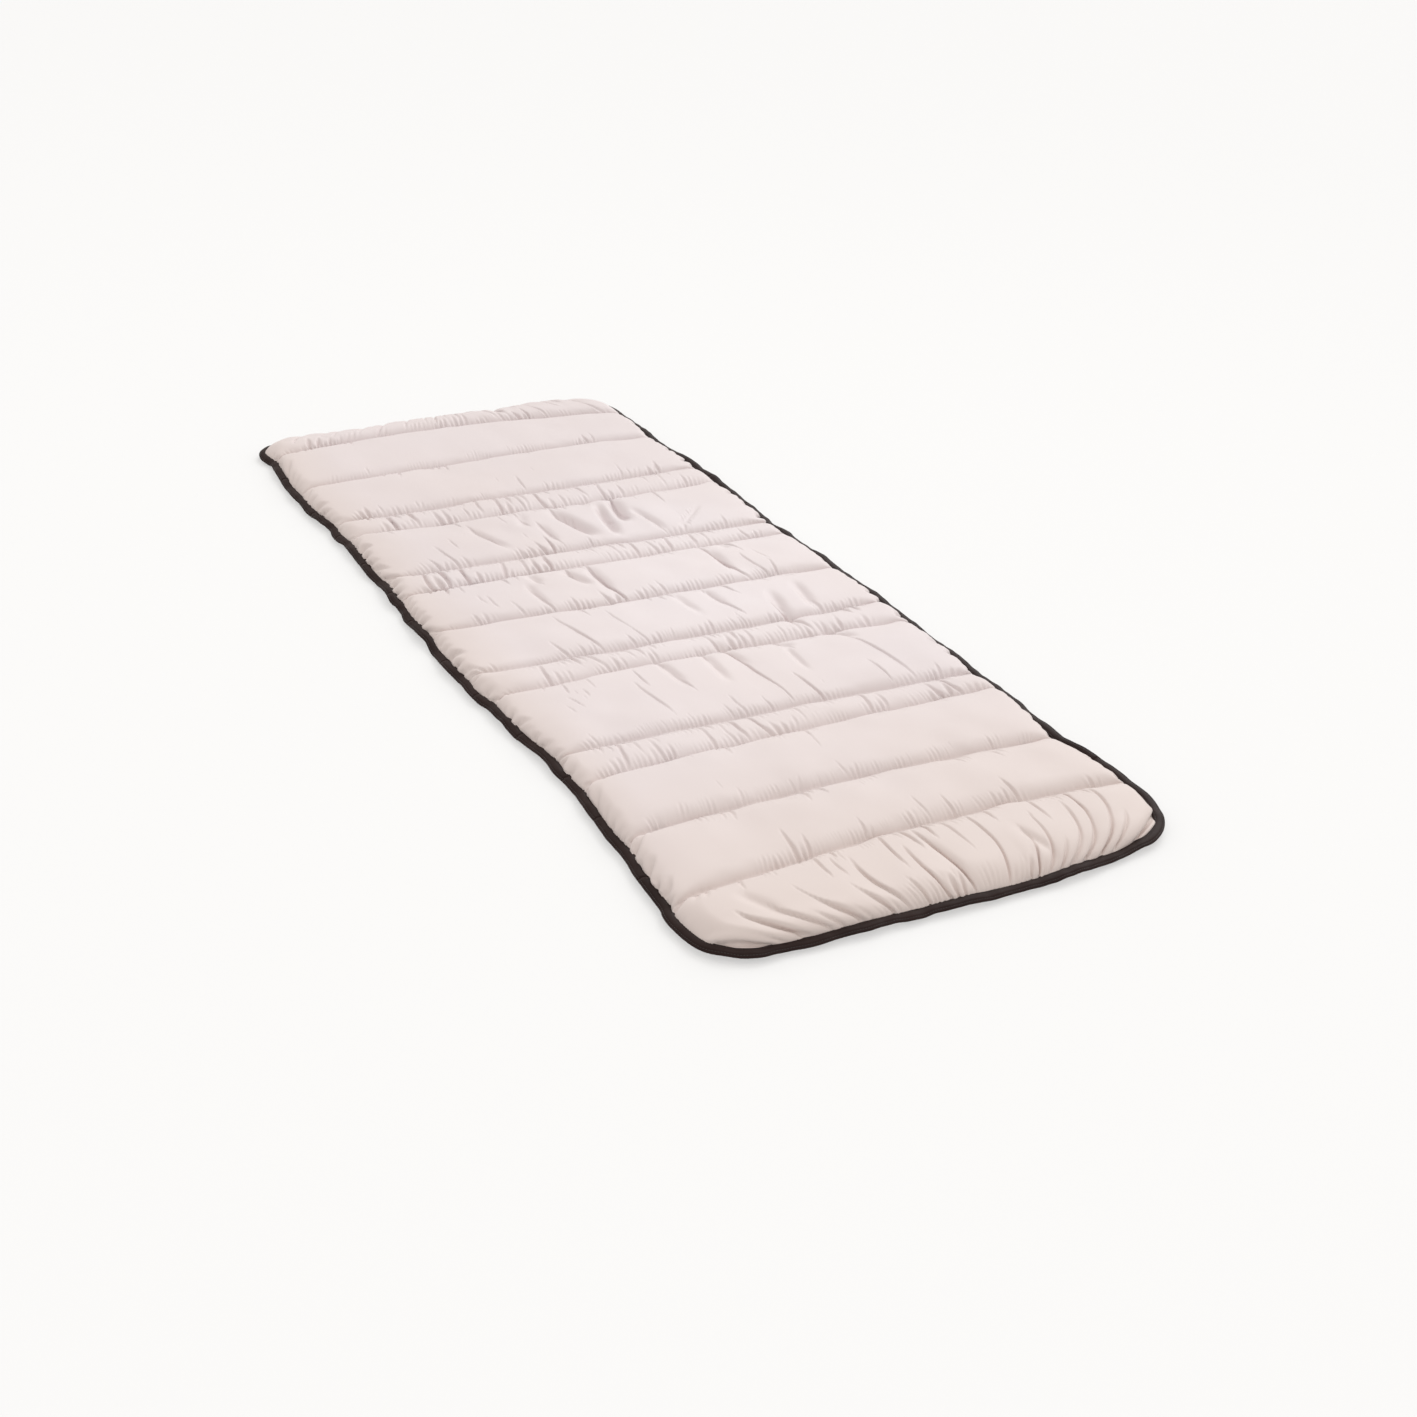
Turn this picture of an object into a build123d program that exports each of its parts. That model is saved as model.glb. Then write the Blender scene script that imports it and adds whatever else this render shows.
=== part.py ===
from build123d import *
import os

# Quilted futon mattress pad, lying flat with its underside on the floor.
# Two microfibre covers are stitched together in rows across the pad, which makes
# a line of filled channels, and one dark tape binds the raw edge all the way round.
# Frame: origin on the floor under the middle of the pad, +X across the pad,
# +Y from the foot end to the head end, +Z up.  Millimetres.

# ---- driving dimensions -------------------------------------------------------

PAD_WIDTH = 800.0
# spacing of the stitched rows, from the foot end to the head end
CHANNEL_LENGTHS = [140, 155, 165, 75, 210, 80, 170, 165, 65, 205, 80, 195, 180, 115]
CORNER_RADIUS = 55.0

SEAM_HEIGHT = 12.0  # the stitched rows and the tape lie this far above the floor
CROWN_LIMIT = 24.0  # a puff's rise above the rows, in a long channel
CROWN_SHARE = 0.20  # and as a share of the channel's length, in a short one
UNDERSIDE_SAG = 16.0  # how far a puff would hang below the rows with no floor under it
SIDE_RUN = 60.0  # distance over which a puff's top runs down to the side tape
UNDERSIDE_RUN = 30.0

COVER_THICKNESS = 0.8
FLANGE_THICKNESS = 0.4  # one cover, pressed flat at the stitching and inside the tape
SEAM_GAP = 0.8  # from the line of a stitched row to the end of a channel's pieces
FILL_SETBACK = 1.4  # from the end of the covers to the tip of the filling

TAPE_WIDTH = 22.0
TAPE_THICKNESS = 8.0
TAPE_SLOT_DEPTH = 18.0
TAPE_SLOT_HEIGHT = 1.0
TAPE_ROUNDING = 3.2
TAPE_CREASE_RUN = 4.4  # how far the tape's cut ends lean back from each row

# ---- derived sizes --------------------------------------------------------------

PAD_LENGTH = float(sum(CHANNEL_LENGTHS))
SEAM_LINES = [-PAD_LENGTH / 2]
for length in CHANNEL_LENGTHS:
    SEAM_LINES.append(SEAM_LINES[-1] + length)

PUFF_HALF_WIDTH = PAD_WIDTH / 2 - TAPE_WIDTH - 1.0
PUFF_HALF_LENGTH = PAD_LENGTH / 2 - TAPE_WIDTH - 1.0
PUFF_CORNER = CORNER_RADIUS - TAPE_WIDTH - 1.0
FLANGE_INSET = TAPE_WIDTH - TAPE_SLOT_DEPTH

SECTION = Plane(origin=(0, 0, SEAM_HEIGHT), x_dir=(0, 1, 0), z_dir=(1, 0, 0))
ACROSS = Plane(origin=(0, 0, SEAM_HEIGHT), x_dir=(1, 0, 0), z_dir=(0, -1, 0))
LEVEL = Plane(origin=(0, 0, SEAM_HEIGHT))


# ---- shapes shared by the pieces ------------------------------------------------

def puff_ends(channel):
    """Where a channel's covers begin and end along the pad."""
    start = SEAM_LINES[channel] + SEAM_GAP
    end = SEAM_LINES[channel + 1] - SEAM_GAP
    return max(start, -PUFF_HALF_LENGTH), min(end, PUFF_HALF_LENGTH)


def crown_of(channel):
    """How far a channel's puff rises above its stitched rows."""
    start, end = puff_ends(channel)
    return min(CROWN_LIMIT, CROWN_SHARE * (end - start))


def extruded_section(outline):
    """A closed outline in the lengthwise section, run right across the pad."""
    return extrude(SECTION * make_face(outline), amount=PAD_WIDTH / 2, both=True)


def bulge(start, end, edge, rise):
    """One side of a puff: an arc over a flat base, its edge as thick as one cover."""
    outline = [
        ThreePointArc((start, edge), ((start + end) / 2, rise), (end, edge)),
        Line((end, edge), (end, 0)),
        Line((end, 0), (start, 0)),
        Line((start, 0), (start, edge)),
    ]
    return extruded_section(outline)


def lens(start, end, top, bottom):
    """The filling's section: two arcs that meet in a sharp edge at both rows."""
    middle = (start + end) / 2
    outline = [
        ThreePointArc((start, 0), (middle, top), (end, 0)),
        ThreePointArc((end, 0), (middle, bottom), (start, 0)),
    ]
    return extruded_section(outline)


def side_envelope(half_width, edge, top, bottom):
    """What brings the puffs down to the side tapes: arcs to both sides, over and under."""
    inner_top, inner_bottom = half_width - SIDE_RUN, half_width - UNDERSIDE_RUN
    outline = [
        Line((-inner_top, top), (inner_top, top)),
        Line((-inner_bottom, bottom), (inner_bottom, bottom)),
    ]
    for side in (-1, 1):
        over, under = (side * half_width, edge), (side * half_width, -edge)
        outward = (side, 0)
        outline.append(TangentArc((side * inner_top, top), over, tangent=outward))
        outline.append(TangentArc((side * inner_bottom, bottom), under, tangent=outward))
        if edge > 0:
            outline.append(Line(over, under))
    return extrude(ACROSS * make_face(outline), amount=PAD_LENGTH / 2, both=True)


def plan(inset, corner, low, high):
    """The pad's rounded outline, drawn in by inset, between two heights from the rows."""
    outline = RectangleRounded(PAD_WIDTH - 2 * inset, PAD_LENGTH - 2 * inset, corner)
    return extrude(LEVEL.offset(low) * outline, amount=high - low)


def channel_slab(channel):
    """Everything between a channel's two stitched rows."""
    start = SEAM_LINES[channel] + (SEAM_GAP if channel > 0 else -1.0)
    last = channel == len(CHANNEL_LENGTHS) - 1
    end = SEAM_LINES[channel + 1] - (SEAM_GAP if not last else -1.0)
    slab = Box(PAD_WIDTH + 2, end - start, 100)
    return Pos(0, (start + end) / 2, SEAM_HEIGHT) * slab


def tape_slab(channel):
    """The same for the tape, with ends that lean back so that it can crease at each row."""
    start, end = SEAM_LINES[channel], SEAM_LINES[channel + 1]
    reach = TAPE_THICKNESS / 2 + 0.2
    near = SEAM_GAP if channel > 0 else -10.0
    far = SEAM_GAP if channel < len(CHANNEL_LENGTHS) - 1 else -10.0
    points = [
        (start + near, -FLANGE_THICKNESS),
        (start + near, FLANGE_THICKNESS),
        (start + near + TAPE_CREASE_RUN, reach),
        (end - far - TAPE_CREASE_RUN, reach),
        (end - far, FLANGE_THICKNESS),
        (end - far, -FLANGE_THICKNESS),
        (end - far - TAPE_CREASE_RUN, -reach),
        (start + near + TAPE_CREASE_RUN, -reach),
    ]
    face = make_face(Polyline(*points, close=True))
    return extrude(SECTION * face, amount=PAD_WIDTH, both=True)


# ---- the pieces -----------------------------------------------------------------

def filling(channel, sides):
    """The loose polyester filling of one channel, flat where the floor carries it."""
    start, end = puff_ends(channel)
    top = crown_of(channel) - COVER_THICKNESS
    bottom = COVER_THICKNESS - UNDERSIDE_SAG
    body = lens(start + FILL_SETBACK, end - FILL_SETBACK, top, bottom)
    outline = plan(TAPE_WIDTH + 1 + FILL_SETBACK, PUFF_CORNER - FILL_SETBACK, -40, 40)
    return body & sides & outline


def covers(channel, sides, outline, flanges, stuffing):
    """The top cover and the underside cover of one channel."""
    start, end = puff_ends(channel)
    slab = channel_slab(channel)
    top = bulge(start, end, FLANGE_THICKNESS, crown_of(channel)) & sides & outline
    hanging = bulge(start, end, FLANGE_THICKNESS, UNDERSIDE_SAG).mirror(LEVEL)
    under = hanging & sides & outline
    top = top + (flanges[0] & slab) - stuffing
    under = under + (flanges[1] & slab) - stuffing
    return top, under


def edge_tape():
    """The binding tape as one ring: rounded outside, slotted for the covers' edges."""
    half = TAPE_THICKNESS / 2
    ring = plan(0, CORNER_RADIUS, -half, half)
    ring -= plan(TAPE_WIDTH, CORNER_RADIUS - TAPE_WIDTH, -half - 1, half + 1)
    rims = ring.edges().filter_by(Plane.XY)
    ring = fillet(rims, TAPE_ROUNDING)
    slot = TAPE_SLOT_HEIGHT / 2
    return ring - plan(FLANGE_INSET - 0.2, CORNER_RADIUS - FLANGE_INSET, -slot, slot)


def solids_of(shape):
    """A shape as one solid, or as a compound of its separate solids."""
    found = list(shape.solids())
    return found[0] if len(found) == 1 else Compound(children=found)


def save(shape, name):
    export_step(solids_of(shape), os.path.join("parts", name + ".step"))


def main():
    os.makedirs("parts", exist_ok=True)
    over = CROWN_LIMIT + 0.01
    outer = side_envelope(PUFF_HALF_WIDTH, FLANGE_THICKNESS, over, -SEAM_HEIGHT)
    inner = side_envelope(
        PUFF_HALF_WIDTH - FILL_SETBACK,
        0,
        over - COVER_THICKNESS,
        COVER_THICKNESS - SEAM_HEIGHT,
    )
    outline = plan(TAPE_WIDTH + 1, PUFF_CORNER, -40, 40)
    corner = CORNER_RADIUS - FLANGE_INSET
    flanges = (
        plan(FLANGE_INSET, corner, 0, FLANGE_THICKNESS),
        plan(FLANGE_INSET, corner, -FLANGE_THICKNESS, 0),
    )
    tape = edge_tape()
    for channel in range(len(CHANNEL_LENGTHS)):
        number = f"{channel + 1:02d}"
        stuffing = filling(channel, inner)
        top, under = covers(channel, outer, outline, flanges, stuffing)
        save(top, "top_cover_" + number)
        save(under, "underside_cover_" + number)
        save(stuffing, "filling_" + number)
        save(tape & tape_slab(channel), "edge_binding_" + number)


main()
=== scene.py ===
import math

import bpy
import numpy as np
from mathutils import Matrix, Vector


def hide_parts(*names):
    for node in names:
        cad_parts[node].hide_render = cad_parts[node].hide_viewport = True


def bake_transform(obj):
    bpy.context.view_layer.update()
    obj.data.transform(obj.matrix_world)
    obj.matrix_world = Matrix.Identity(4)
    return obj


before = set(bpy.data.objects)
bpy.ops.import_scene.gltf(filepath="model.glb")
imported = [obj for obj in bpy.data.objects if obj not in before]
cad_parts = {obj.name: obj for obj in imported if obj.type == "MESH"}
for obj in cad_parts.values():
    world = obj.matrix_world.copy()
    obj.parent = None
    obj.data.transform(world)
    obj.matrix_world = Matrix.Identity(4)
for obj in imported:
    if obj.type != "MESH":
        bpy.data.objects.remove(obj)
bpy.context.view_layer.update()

# ---------------------------------------------------------------- the pad's plan, in metres
CHANNELS = np.array([140, 155, 165, 75, 210, 80, 170, 165, 65, 205, 80, 195, 180, 115]) * 0.001
LINES = np.concatenate([[0.0], np.cumsum(CHANNELS)]) - 1.0  # foot end, thirteen seams, head end
SEAMS = len(CHANNELS) - 1
SEAM_Z = 0.012
SEAM_TOP, SEAM_UNDER = 0.0095, 0.0055  # the squeezed wadding above and below the seams' level
PAD_HALF_X = 0.4
HALF_X, HALF_Y = 0.386, 0.986  # the quilt's own edge, inside the tape
CORNER = 0.050  # the radius of its corners
DRAWN_IN = 0.003  # how far each seam's ends pull the sides in, except this close to the ends
DRAWN_IN_FROM = 0.02
COLUMNS = 401  # points across the pad
FINE_ROW, COARSE_ROW, ROW_GROWTH = 0.0023, 0.006, 1.16  # rows of points, from a seam outwards

rng = np.random.default_rng(11)


def smooth_noise(count, cells, amplitude):
    """A smooth random curve of count samples through cells + 1 knots."""
    knots = rng.normal(size=cells + 3)
    x = np.linspace(0, cells, count)
    i = np.clip(x.astype(int), 0, cells - 1)
    f = x - i
    a, b, c, d = knots[i], knots[i + 1], knots[i + 2], knots[(i + 3) % (cells + 3)]
    curve = 2 * a - 5 * b + 4 * c - d + f * (3 * (b - c) + d - a)
    return amplitude * (b + 0.5 * f * (c - a + f * curve))


def smooth_field(cells_y, cells_x, amplitude):
    """A smooth random field over the whole pad."""
    knots = rng.normal(size=(cells_y + 2, cells_x + 2))

    def ease(n, cells):
        x = np.linspace(0, cells, n)
        i = np.clip(x.astype(int), 0, cells)
        f = x - i
        return i, f * f * (3 - 2 * f)

    iy, fy = ease(ROWS, cells_y)
    ix, fx = ease(COLUMNS, cells_x)
    low = knots[iy][:, ix] * (1 - fx) + knots[iy][:, ix + 1] * fx
    high = knots[iy + 1][:, ix] * (1 - fx) + knots[iy + 1][:, ix + 1] * fx
    return amplitude * (low * (1 - fy[:, None]) + high * fy[:, None])


def slope(value, start, run):
    """0 up to start, then a straight climb to 1 over run."""
    return np.clip((value - start) / run, 0, 1)


def hill(value, middle, width):
    return np.exp(-(((value - middle) / width) ** 2))


# How the pad lies: each line's left end, middle and right end move along the pad, and its
# two ends move outwards, in millimetres.
LIE = [
    (-8, -34, 12, 19, -2), (-23, 13, -3, 27, 19), (-8, 12, -4, 14, -3), (-9, 12, 14, 2, 20),
    (0, 11, -1, 2, 14), (1, 17, -3, 19, 22), (3, 5, 5, 29, 25), (7, 3, 1, 25, 24),
    (-7, 0, 6, 20, 16), (2, 4, 2, 16, 13), (0, -4, 19, 15, 17), (-11, 0, 22, 17, 18),
    (-34, 8, 18, 30, 7), (-27, 24, -10, 17, 11), (-44, -2, 12, 31, 12),
]
LIE = np.array(LIE) * 0.001


def lie(x, y):
    """Where a point of the flat plan lies."""
    k = np.clip(np.searchsorted(LINES, y) - 1, 0, SEAMS)
    t = np.clip((y - LINES[k]) / CHANNELS[k], 0, 1)
    t = (t * t * (3 - 2 * t))[..., None]
    moves = LIE[k] * (1 - t) + LIE[k + 1] * t
    left, middle, right, out_left, out_right = np.moveaxis(moves, -1, 0)
    s = x / PAD_HALF_X
    along = left * s * (s - 1) / 2 + middle * (1 - s * s) + right * s * (s + 1) / 2
    # the foot end waves, the head end dips in two places and its right corner is rounder
    foot = slope(-y, 0.86, 0.13) ** 2
    along += foot * (0.006 * np.sin(9.5 * (x + 0.42)) + 0.008 * np.cos(9.7 * (x + 0.02)))
    head = slope(y, 0.88, 0.12) ** 1.5
    along -= head * (0.018 * hill(x, -0.19, 0.07) + 0.012 * hill(x, 0.13, 0.04))
    along -= 0.035 * np.clip((x - 0.27) / 0.11, 0, 1.1) ** 2 * slope(y, 0.86, 0.12)
    # the left side steps out just below the first seam
    out_left = out_left + 0.007 * slope(-y, 0.852, 0.012) * slope(y, -1.0, 0.06)
    out = np.where(s < 0, -out_left * np.abs(s) ** 3, out_right * np.abs(s) ** 3)
    return x + out, y + along


def spacing(width):
    """Rows across a channel: close together at its seams, wider in its middle."""
    half, step = [0.0], FINE_ROW
    while half[-1] < width / 2:
        half.append(half[-1] + step)
        step = min(COARSE_ROW, step * ROW_GROWTH)
    half = np.array(half) / half[-1] * width / 2
    steps = np.concatenate([half, width - half[-2::-1]])
    if len(steps) % 4 != 1:  # so that the grid can be halved twice
        even = np.linspace(0, 1, len(steps) // 4 * 4 + 5)
        steps = np.interp(even, np.linspace(0, 1, len(steps)), steps)
    return steps


row_y, row_t, row_channel, seam_rows, middle_rows, widths = [], [], [], [0], [], []
for k in range(SEAMS + 1):
    start, stop = max(LINES[k], -HALF_Y), min(LINES[k + 1], HALF_Y)
    widths.append(stop - start)
    steps = spacing(stop - start)
    middle_rows.append(len(row_y) - (1 if k else 0) + len(steps) // 2)
    if k:
        steps = steps[1:]
    row_y += list(start + steps)
    row_t += list(steps / (stop - start))
    row_channel += [k] * len(steps)
    seam_rows.append(len(row_y) - 1)
row_y, row_t, row_channel, widths = map(np.array, (row_y, row_t, row_channel, widths))
ROWS = len(row_y)
across = np.linspace(-1, 1, COLUMNS)

# ---------------------------------------------------------------- the padding the cloth lies over
from_end = HALF_Y - np.abs(row_y)
edge_x = np.full(ROWS, HALF_X)
turning = from_end < CORNER
round_off = np.maximum(CORNER**2 - (CORNER - from_end[turning]) ** 2, 0)
edge_x[turning] = HALF_X - CORNER + np.sqrt(round_off)
drawn_in = DRAWN_IN * (1 - np.abs(np.sin(np.pi * row_t))) ** 1.5
drawn_in[from_end < DRAWN_IN_FROM] = 0
flat_x = across[None, :] * (edge_x - drawn_in)[:, None]
flat_y = np.repeat(row_y[:, None], COLUMNS, 1)
edge_distance = (1 - np.abs(across))[None, :] * edge_x[:, None]


def side_profile(distance, run, power, root):
    """The rounded rise of the padding from an edge."""
    return (1 - (1 - np.clip(distance / run, 0, 1)) ** power) ** root


def channel_profile(t, power, root):
    """The rounded rise and fall of the padding from seam to seam."""
    return np.maximum(1 - np.abs(2 * t - 1) ** power, 0) ** root


def lay(height):
    x, y = lie(flat_x, flat_y)
    return np.stack([x, y, height], -1)


# Channel by channel: how full it is, how much it is gathered at its seams, how much longer
# its cover is all over, and how far the cover is pulled askew.
#            C1    C2    C3    C4    C5    C6    C7    C8    C9   C10   C11   C12   C13   C14
FULLNESS = [1.00, 0.98, 0.95, 0.70, 0.66, 0.66, 0.62, 0.60, 0.62, 0.62, 0.62, 0.66, 0.80, 1.05]
GATHER = [1.05, 0.90, 1.00, 1.30, 1.05, 1.40, 1.15, 1.15, 1.40, 1.15, 1.40, 0.90, 0.70, 1.00]
SPARE = [.055, .008, .018, .045, .040, .050, .055, .050, .050, .055, .050, .018, .008, .025]
SKEW = [.004, .004, .010, .010, .045, .010, .045, .055, .010, .050, .010, .015, .004, .010]
FULLNESS, GATHER, SPARE, SKEW = map(np.array, (FULLNESS, GATHER, SPARE, SKEW))
TALLEST_CROWN, CROWN_SHARE = 0.0095, 0.080  # the most, and as a share of the channel's length
EDGE_RUN = 0.026  # the padding's rounded edge beside the tape
SIDE_RUN = 0.07  # and how far in the puffs still slope down to it
SAG = 0.012  # how far the underside hangs below the seams, down to the floor

crown = np.minimum(TALLEST_CROWN, CROWN_SHARE * widths) * FULLNESS
lumps = 1 + smooth_field(34, 9, 0.10)
uneven = smooth_field(12, 5, 0.0012) + smooth_field(44, 15, 0.0008)
seam_wave = np.zeros((ROWS, COLUMNS))
for row in seam_rows[1:-1]:
    seam_wave[row] = smooth_noise(COLUMNS, 14, 0.0007)
end_rise = side_profile(from_end, EDGE_RUN, 2.4, 0.6)[:, None]
edge_rise = side_profile(edge_distance, EDGE_RUN, 2.6, 0.55) * end_rise
puff = crown[row_channel][:, None] * channel_profile(row_t, 3.0, 0.62)[:, None]
puff = puff * side_profile(edge_distance, SIDE_RUN, 2.2, 0.5) * lumps
top_height = SEAM_Z + edge_rise * (SEAM_TOP + uneven + puff)

# three deep dents and some shallow ones, each (x, y, half length, half width, depth, turn)
DENTS = [
    (0.018, 0.332, 0.062, 0.0140, 0.018, 1.82), (0.088, 0.328, 0.062, 0.0095, 0.015, 1.42),
    (0.130, 0.362, 0.050, 0.0125, 0.017, 1.44), (-0.165, 0.315, 0.050, 0.008, 0.006, 1.90),
    (-0.050, 0.300, 0.035, 0.008, 0.005, 1.60), (0.165, 0.300, 0.050, 0.008, 0.006, 1.75),
    (0.245, 0.285, 0.045, 0.006, 0.005, 0.75), (-0.075, 0.370, 0.030, 0.010, 0.005, 1.30),
    (-0.160, 0.125, 0.020, 0.009, 0.006, 1.70), (-0.085, 0.105, 0.035, 0.009, 0.008, 1.90),
    (-0.047, 0.085, 0.045, 0.010, 0.008, 1.60), (0.200, 0.075, 0.040, 0.009, 0.008, 1.55),
    (-0.180, 0.060, 0.040, 0.007, 0.005, 1.65), (0.237, 0.135, 0.015, 0.010, 0.005, 1.60),
    (0.266, -0.105, 0.045, 0.009, 0.007, 1.42), (0.203, -0.145, 0.060, 0.010, 0.009, 1.44),
    (0.110, -0.060, 0.040, 0.008, 0.005, 1.75), (0.050, -0.070, 0.040, 0.008, 0.004, 1.70),
    (0.243, -0.272, 0.028, 0.009, 0.008, 2.25), (0.130, -0.275, 0.020, 0.009, 0.006, 2.20),
    (-0.100, -0.300, 0.045, 0.008, 0.006, 1.60), (-0.020, -0.310, 0.050, 0.009, 0.006, 1.50),
    (0.030, -0.280, 0.040, 0.008, 0.006, 1.75), (0.125, -0.330, 0.040, 0.006, 0.004, 1.50),
    (0.130, 0.955, 0.024, 0.009, 0.009, 1.60), (0.000, -0.940, 0.036, 0.008, 0.006, 1.75),
    (0.150, -0.950, 0.030, 0.007, 0.005, 1.90), (-0.300, -0.930, 0.030, 0.009, 0.005, 2.00),
]
for cx, cy, length, width, depth, turn in DENTS:
    u = (flat_x - cx) * math.cos(turn) + (flat_y - cy) * math.sin(turn)
    v = -(flat_x - cx) * math.sin(turn) + (flat_y - cy) * math.cos(turn)
    top_height -= depth * np.exp(-((u / length) ** 4) - (v / width) ** 2)
top_shape = lay(top_height)

rests = channel_profile(row_t, 2.3, 0.8)[:, None] * side_profile(edge_distance, 0.05, 2.2, 0.7)
bottom_height = SEAM_Z - edge_rise * SEAM_UNDER - SAG * rests * (0.3 + 0.7 * edge_rise)
bottom_shape = lay(bottom_height)
for shape in (top_shape, bottom_shape):
    shape[..., 1] += seam_wave * 2
    shape[..., 2] += seam_wave

pinned = np.zeros((ROWS, COLUMNS), bool)
pinned[seam_rows] = True
pinned[:, 0] = pinned[:, -1] = True


# ---------------------------------------------------------------- the covers, as cloth
SLACK = 0.007  # how far the cloth may move from the padding
PUSH = 0.00002  # how far the padding pushes it outwards in one step
KEPT_SPEED = 0.9  # the share of its speed that a point keeps from step to step
DIAGONAL_STIFFNESS = 0.35
STIFFEST_BEND = 0.35
PUCKERS, LONG_FOLDS = 0.23, 0.15  # the spare cloth at a seam, in two kinds of fold
PUCKER_REACH, LONG_FOLD_REACH = 0.009, 0.026
FAR_SIDE = 0.6  # a seam's folds towards the foot end, as a share of those towards the head end
ALONG_SPARE = 0.003
TAPE_GATHERS, TAPE_GATHER_REACH = 0.24, 0.016  # the spare cloth along the side tapes
FLOOR_CLEARANCE = 0.0003
BROAD_STEPS, ROUGH_STEPS, FINE_STEPS = 50, 150, 110


def spare_cloth():
    """How much longer than its channel the cover is across the pad, from row to row."""
    lots = np.clip(0.55 + smooth_field(24, 13, 1.1), 0.0, 3.0)
    spare = SPARE[row_channel][:, None] * lots
    for number, row in enumerate(seam_rows):
        for side in (1, -1):
            channel = number if side > 0 else number - 1
            if not 0 <= channel <= SEAMS:
                continue
            # short puckers along the whole seam, and longer folds here and there
            fine = np.clip(0.25 + smooth_noise(COLUMNS, 30, 1.2), 0.05, 2.8) * PUCKERS
            fine = fine * np.clip(0.75 + smooth_noise(COLUMNS, 9, 0.6), 0.15, 2.0)
            fine_reach = PUCKER_REACH * np.exp(smooth_noise(COLUMNS, 60, 0.75))
            long = np.clip(smooth_noise(COLUMNS, 26, 1.0) - 0.35, 0.0, 2.2) * LONG_FOLDS
            long_reach = LONG_FOLD_REACH * np.exp(smooth_noise(COLUMNS, 30, 0.35))
            distance = side * (row_y - row_y[row])
            near = (distance > 0) & (row_channel == channel)
            near[row] = True
            away = distance[near][:, None]
            folds = fine * np.exp(-away / fine_reach) + long * np.exp(-away / long_reach)
            spare[near] += GATHER[channel] * (1.0 if side > 0 else FAR_SIDE) * folds
    return spare * (0.15 + 0.85 * np.clip(edge_distance / 0.06, 0, 1))


def rest_lengths(shape, spare, along_spare, skew):
    """The cloth's own lengths: across, along, and the two diagonals of each cell."""
    wide = np.linalg.norm(shape[:, 1:] - shape[:, :-1], axis=-1)
    wide = wide * (1 + 0.5 * (spare[:, 1:] + spare[:, :-1]))
    tall = np.linalg.norm(shape[1:] - shape[:-1], axis=-1)
    tall = tall * (1 + 0.5 * (along_spare[1:] + along_spare[:-1]))
    cell_wide, cell_tall = 0.5 * (wide[1:] + wide[:-1]), 0.5 * (tall[:, 1:] + tall[:, :-1])
    diagonal = np.sqrt(cell_wide**2 + cell_tall**2)
    lean = skew[1:, 1:] * cell_wide * cell_tall * 2 / diagonal
    return wide, tall, diagonal + lean, diagonal - lean


def coarser(lengths):
    """The same lengths for every second row and column."""
    wide, tall, rising, falling = lengths
    return (
        wide[::2, 0::2] + wide[::2, 1::2],
        tall[0::2, ::2] + tall[1::2, ::2],
        rising[0::2, 0::2] + rising[1::2, 1::2],
        falling[0::2, 1::2] + falling[1::2, 0::2],
    )


def finer(grid):
    """Twice the rows and columns, on smooth curves through the old ones."""

    def double(a):
        out = np.empty((a.shape[0] * 2 - 1,) + a.shape[1:])
        out[::2] = a
        before = np.concatenate([a[:1], a[:-2]])
        after = np.concatenate([a[2:], a[-1:]])
        out[1::2] = 0.5625 * (a[:-1] + a[1:]) - 0.0625 * (before + after)
        return out

    return np.swapaxes(double(np.swapaxes(double(grid), 0, 1)), 0, 1)


def normals_of(grid):
    u, v = np.empty_like(grid), np.empty_like(grid)
    u[:, 1:-1], u[:, 0] = grid[:, 2:] - grid[:, :-2], grid[:, 1] - grid[:, 0]
    u[:, -1] = grid[:, -1] - grid[:, -2]
    v[1:-1], v[0], v[-1] = grid[2:] - grid[:-2], grid[1] - grid[0], grid[-1] - grid[-2]
    n = np.cross(u, v)
    return n / (np.linalg.norm(n, axis=-1, keepdims=True) + 1e-12)


def ruffled(cloth, free, amount):
    """A slight random unevenness, drawn out along the pad, that tells the folds where to start."""
    seed = rng.normal(size=free.shape)
    for _ in range(2):
        seed[:, 1:-1] = 0.25 * (seed[:, 2:] + seed[:, :-2]) + 0.5 * seed[:, 1:-1]
    for _ in range(7):
        seed[1:-1] = 0.25 * (seed[2:] + seed[:-2]) + 0.5 * seed[1:-1]
    return cloth + normals_of(cloth) * (seed / seed.std() * amount * free)[..., None]


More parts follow.
